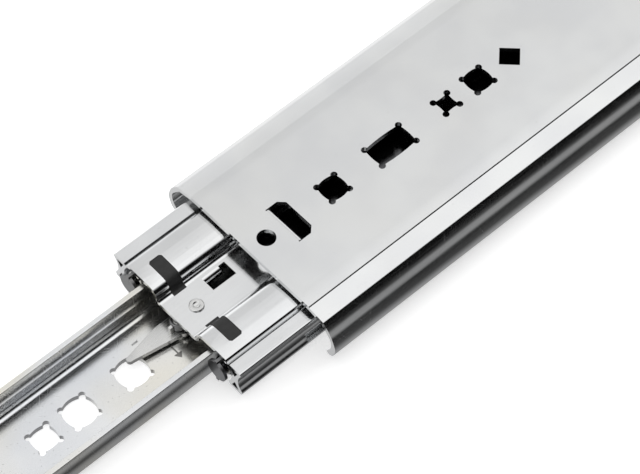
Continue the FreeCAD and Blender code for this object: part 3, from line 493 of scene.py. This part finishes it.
@dataclass
class Cushions:
    """Rubber pieces that take the knocks at the ends of the travel, and the lever's spring."""

    pad_radius_mm: float = 0.3
    bumper_radius_mm: float = 0.8
    round_segments: int = 4
    rubber: Rubber = field(default_factory=lambda: Rubber("moulded_nitrile_rubber"))
    wire: ZincPlate = field(default_factory=lambda: ZincPlate(
        "drawn_spring_wire", light="77787b", deep="5c5d60", roughness=0.3, grain_mm=0.1))

    def dress(self) -> None:
        """Give the rubber pieces and the spring their finishes."""
        rubber = self.rubber.build()
        for node, body, radius_mm in (("front_pad_left", "intermediate", self.pad_radius_mm),
                                      ("front_pad_right", "intermediate", self.pad_radius_mm),
                                      ("rear_bumper", "outer", self.bumper_radius_mm)):
            remodel(node, body, radius_mm, self.round_segments, rubber)
        dress(["lever_spring"], self.wire.build())


# ---------------------------------------------------------------- studio


@dataclass
class Studio:
    """Pale floor, a banded light tent and the camera."""

    floor_half: float = 6.0
    floor_gap_mm: float = 0.4
    floor_glow: float = 0.55
    tent_strength: float = 1.3
    look_at: tuple[float, float, float] = (-0.0119, 0.01062, 0.0)
    distance: float = 0.8375
    azimuth: float = 140.06
    elevation: float = 55.77
    roll: float = -2.265
    lens_mm: float = 158.383

    def build_floor(self) -> None:
        """A pale floor just under the drawer face."""
        level = CAD_BOX[0].z - self.floor_gap_mm * MM
        bpy.ops.mesh.primitive_plane_add(size=2 * self.floor_half, location=(0, 0, level))
        floor = bpy.context.active_object
        floor.name = "floor"
        material = bpy.data.materials.new("pale_floor")
        material.use_nodes = True
        tree = material.node_tree
        shader = tree.nodes["Principled BSDF"]
        shader.inputs["Base Color"].default_value = srgb("f4f4f4")
        shader.inputs["Roughness"].default_value = 1.0
        shader.inputs["Emission Color"].default_value = srgb("ffffff")
        shader.inputs["Emission Strength"].default_value = self.floor_glow
        floor.data.materials.append(material)
        floor.visible_glossy = False

    def build_light(self) -> None:
        """A light tent whose brightness changes with the direction round the rails' long axis.

        Each band is what one pressed face mirrors towards the main camera, so the tones suit
        that camera only.  From elsewhere the same faces mirror other bands and look too dark
        or too bright.
        """
        world = bpy.data.worlds.new("light_tent")
        bpy.context.scene.world = world
        world.use_nodes = True
        tree = world.node_tree
        background = tree.nodes["Background"]
        way = add_node(tree, "ShaderNodeTexCoord").outputs["Generated"]
        axes = add_node(tree, "ShaderNodeSeparateXYZ", {0: way}).outputs
        angle = add_node(tree, "ShaderNodeMath", {0: axes["Y"], 1: axes["Z"]}, operation="ARCTAN2").outputs[0]
        turn = add_node(tree, "ShaderNodeMapRange", {
            "Value": angle, "From Min": -math.pi, "From Max": math.pi}).outputs["Result"]
        # degrees from straight up, positive towards +Y
        bands = [(-180, "8a8a8a"), (-160, "a8a8a8"), (-140, "e4e4e4"), (-62, "fafafa"),
                 (-52, "d8d8d8"), (-45, "d2d2d2"), (-36, "c6c6c6"), (-31, "d2d2d2"),
                 (-27, "d9d9d9"), (-23, "e8e8e8"), (-17, "f2f2f2"), (8, "efefef"),
                 (22, "f4f4f4"), (29, "bcbcbc"), (38, "202020"), (46, "060606"),
                 (78, "040404"), (84, "868686"), (100, "8c8c8c"), (104, "080808"),
                 (109, "262626"), (128, "464646"), (146, "808080"), (180, "8a8a8a")]
        colour = ramp(tree, turn, [((degrees + 180) / 360, code) for degrees, code in bands])
        tree.links.new(colour, background.inputs["Color"])
        background.inputs["Strength"].default_value = self.tent_strength

    def build_camera(self) -> None:
        """A long lens above the front end, looking back along the slide."""
        turn, tip, roll = (math.radians(value) for value in (self.azimuth, self.elevation, self.roll))
        back = Vector((math.sin(turn) * math.cos(tip), -math.cos(turn) * math.cos(tip), math.sin(tip)))
        right = (-back).cross(Vector((0, 0, 1))).normalized()
        up = right.cross(-back)
        right, up = (math.cos(roll) * right + math.sin(roll) * up,
                     math.cos(roll) * up - math.sin(roll) * right)
        data = bpy.data.cameras.new("camera")
        data.sensor_width = SENSOR_MM
        data.lens = self.lens_mm
        data.clip_start = 0.01
        data.clip_end = 50.0
        camera = bpy.data.objects.new("camera", data)
        bpy.context.scene.collection.objects.link(camera)
        axes = Matrix((right, up, back)).transposed().to_4x4()
        camera.matrix_world = Matrix.Translation(Vector(self.look_at) + back * self.distance) @ axes
        bpy.context.scene.camera = camera

    def build(self) -> None:
        """Build the floor, the light and the camera."""
        self.build_floor()
        self.build_light()
        self.build_camera()
        bpy.context.scene.view_settings.view_transform = "Standard"


def main() -> None:
    """Dress the slide and build the studio."""
    logging.basicConfig(level=logging.INFO)
    RailSet().dress()
    BallTrains().dress()
    Cushions().dress()
    Studio().build()


if __name__ == "__main__":
    main()
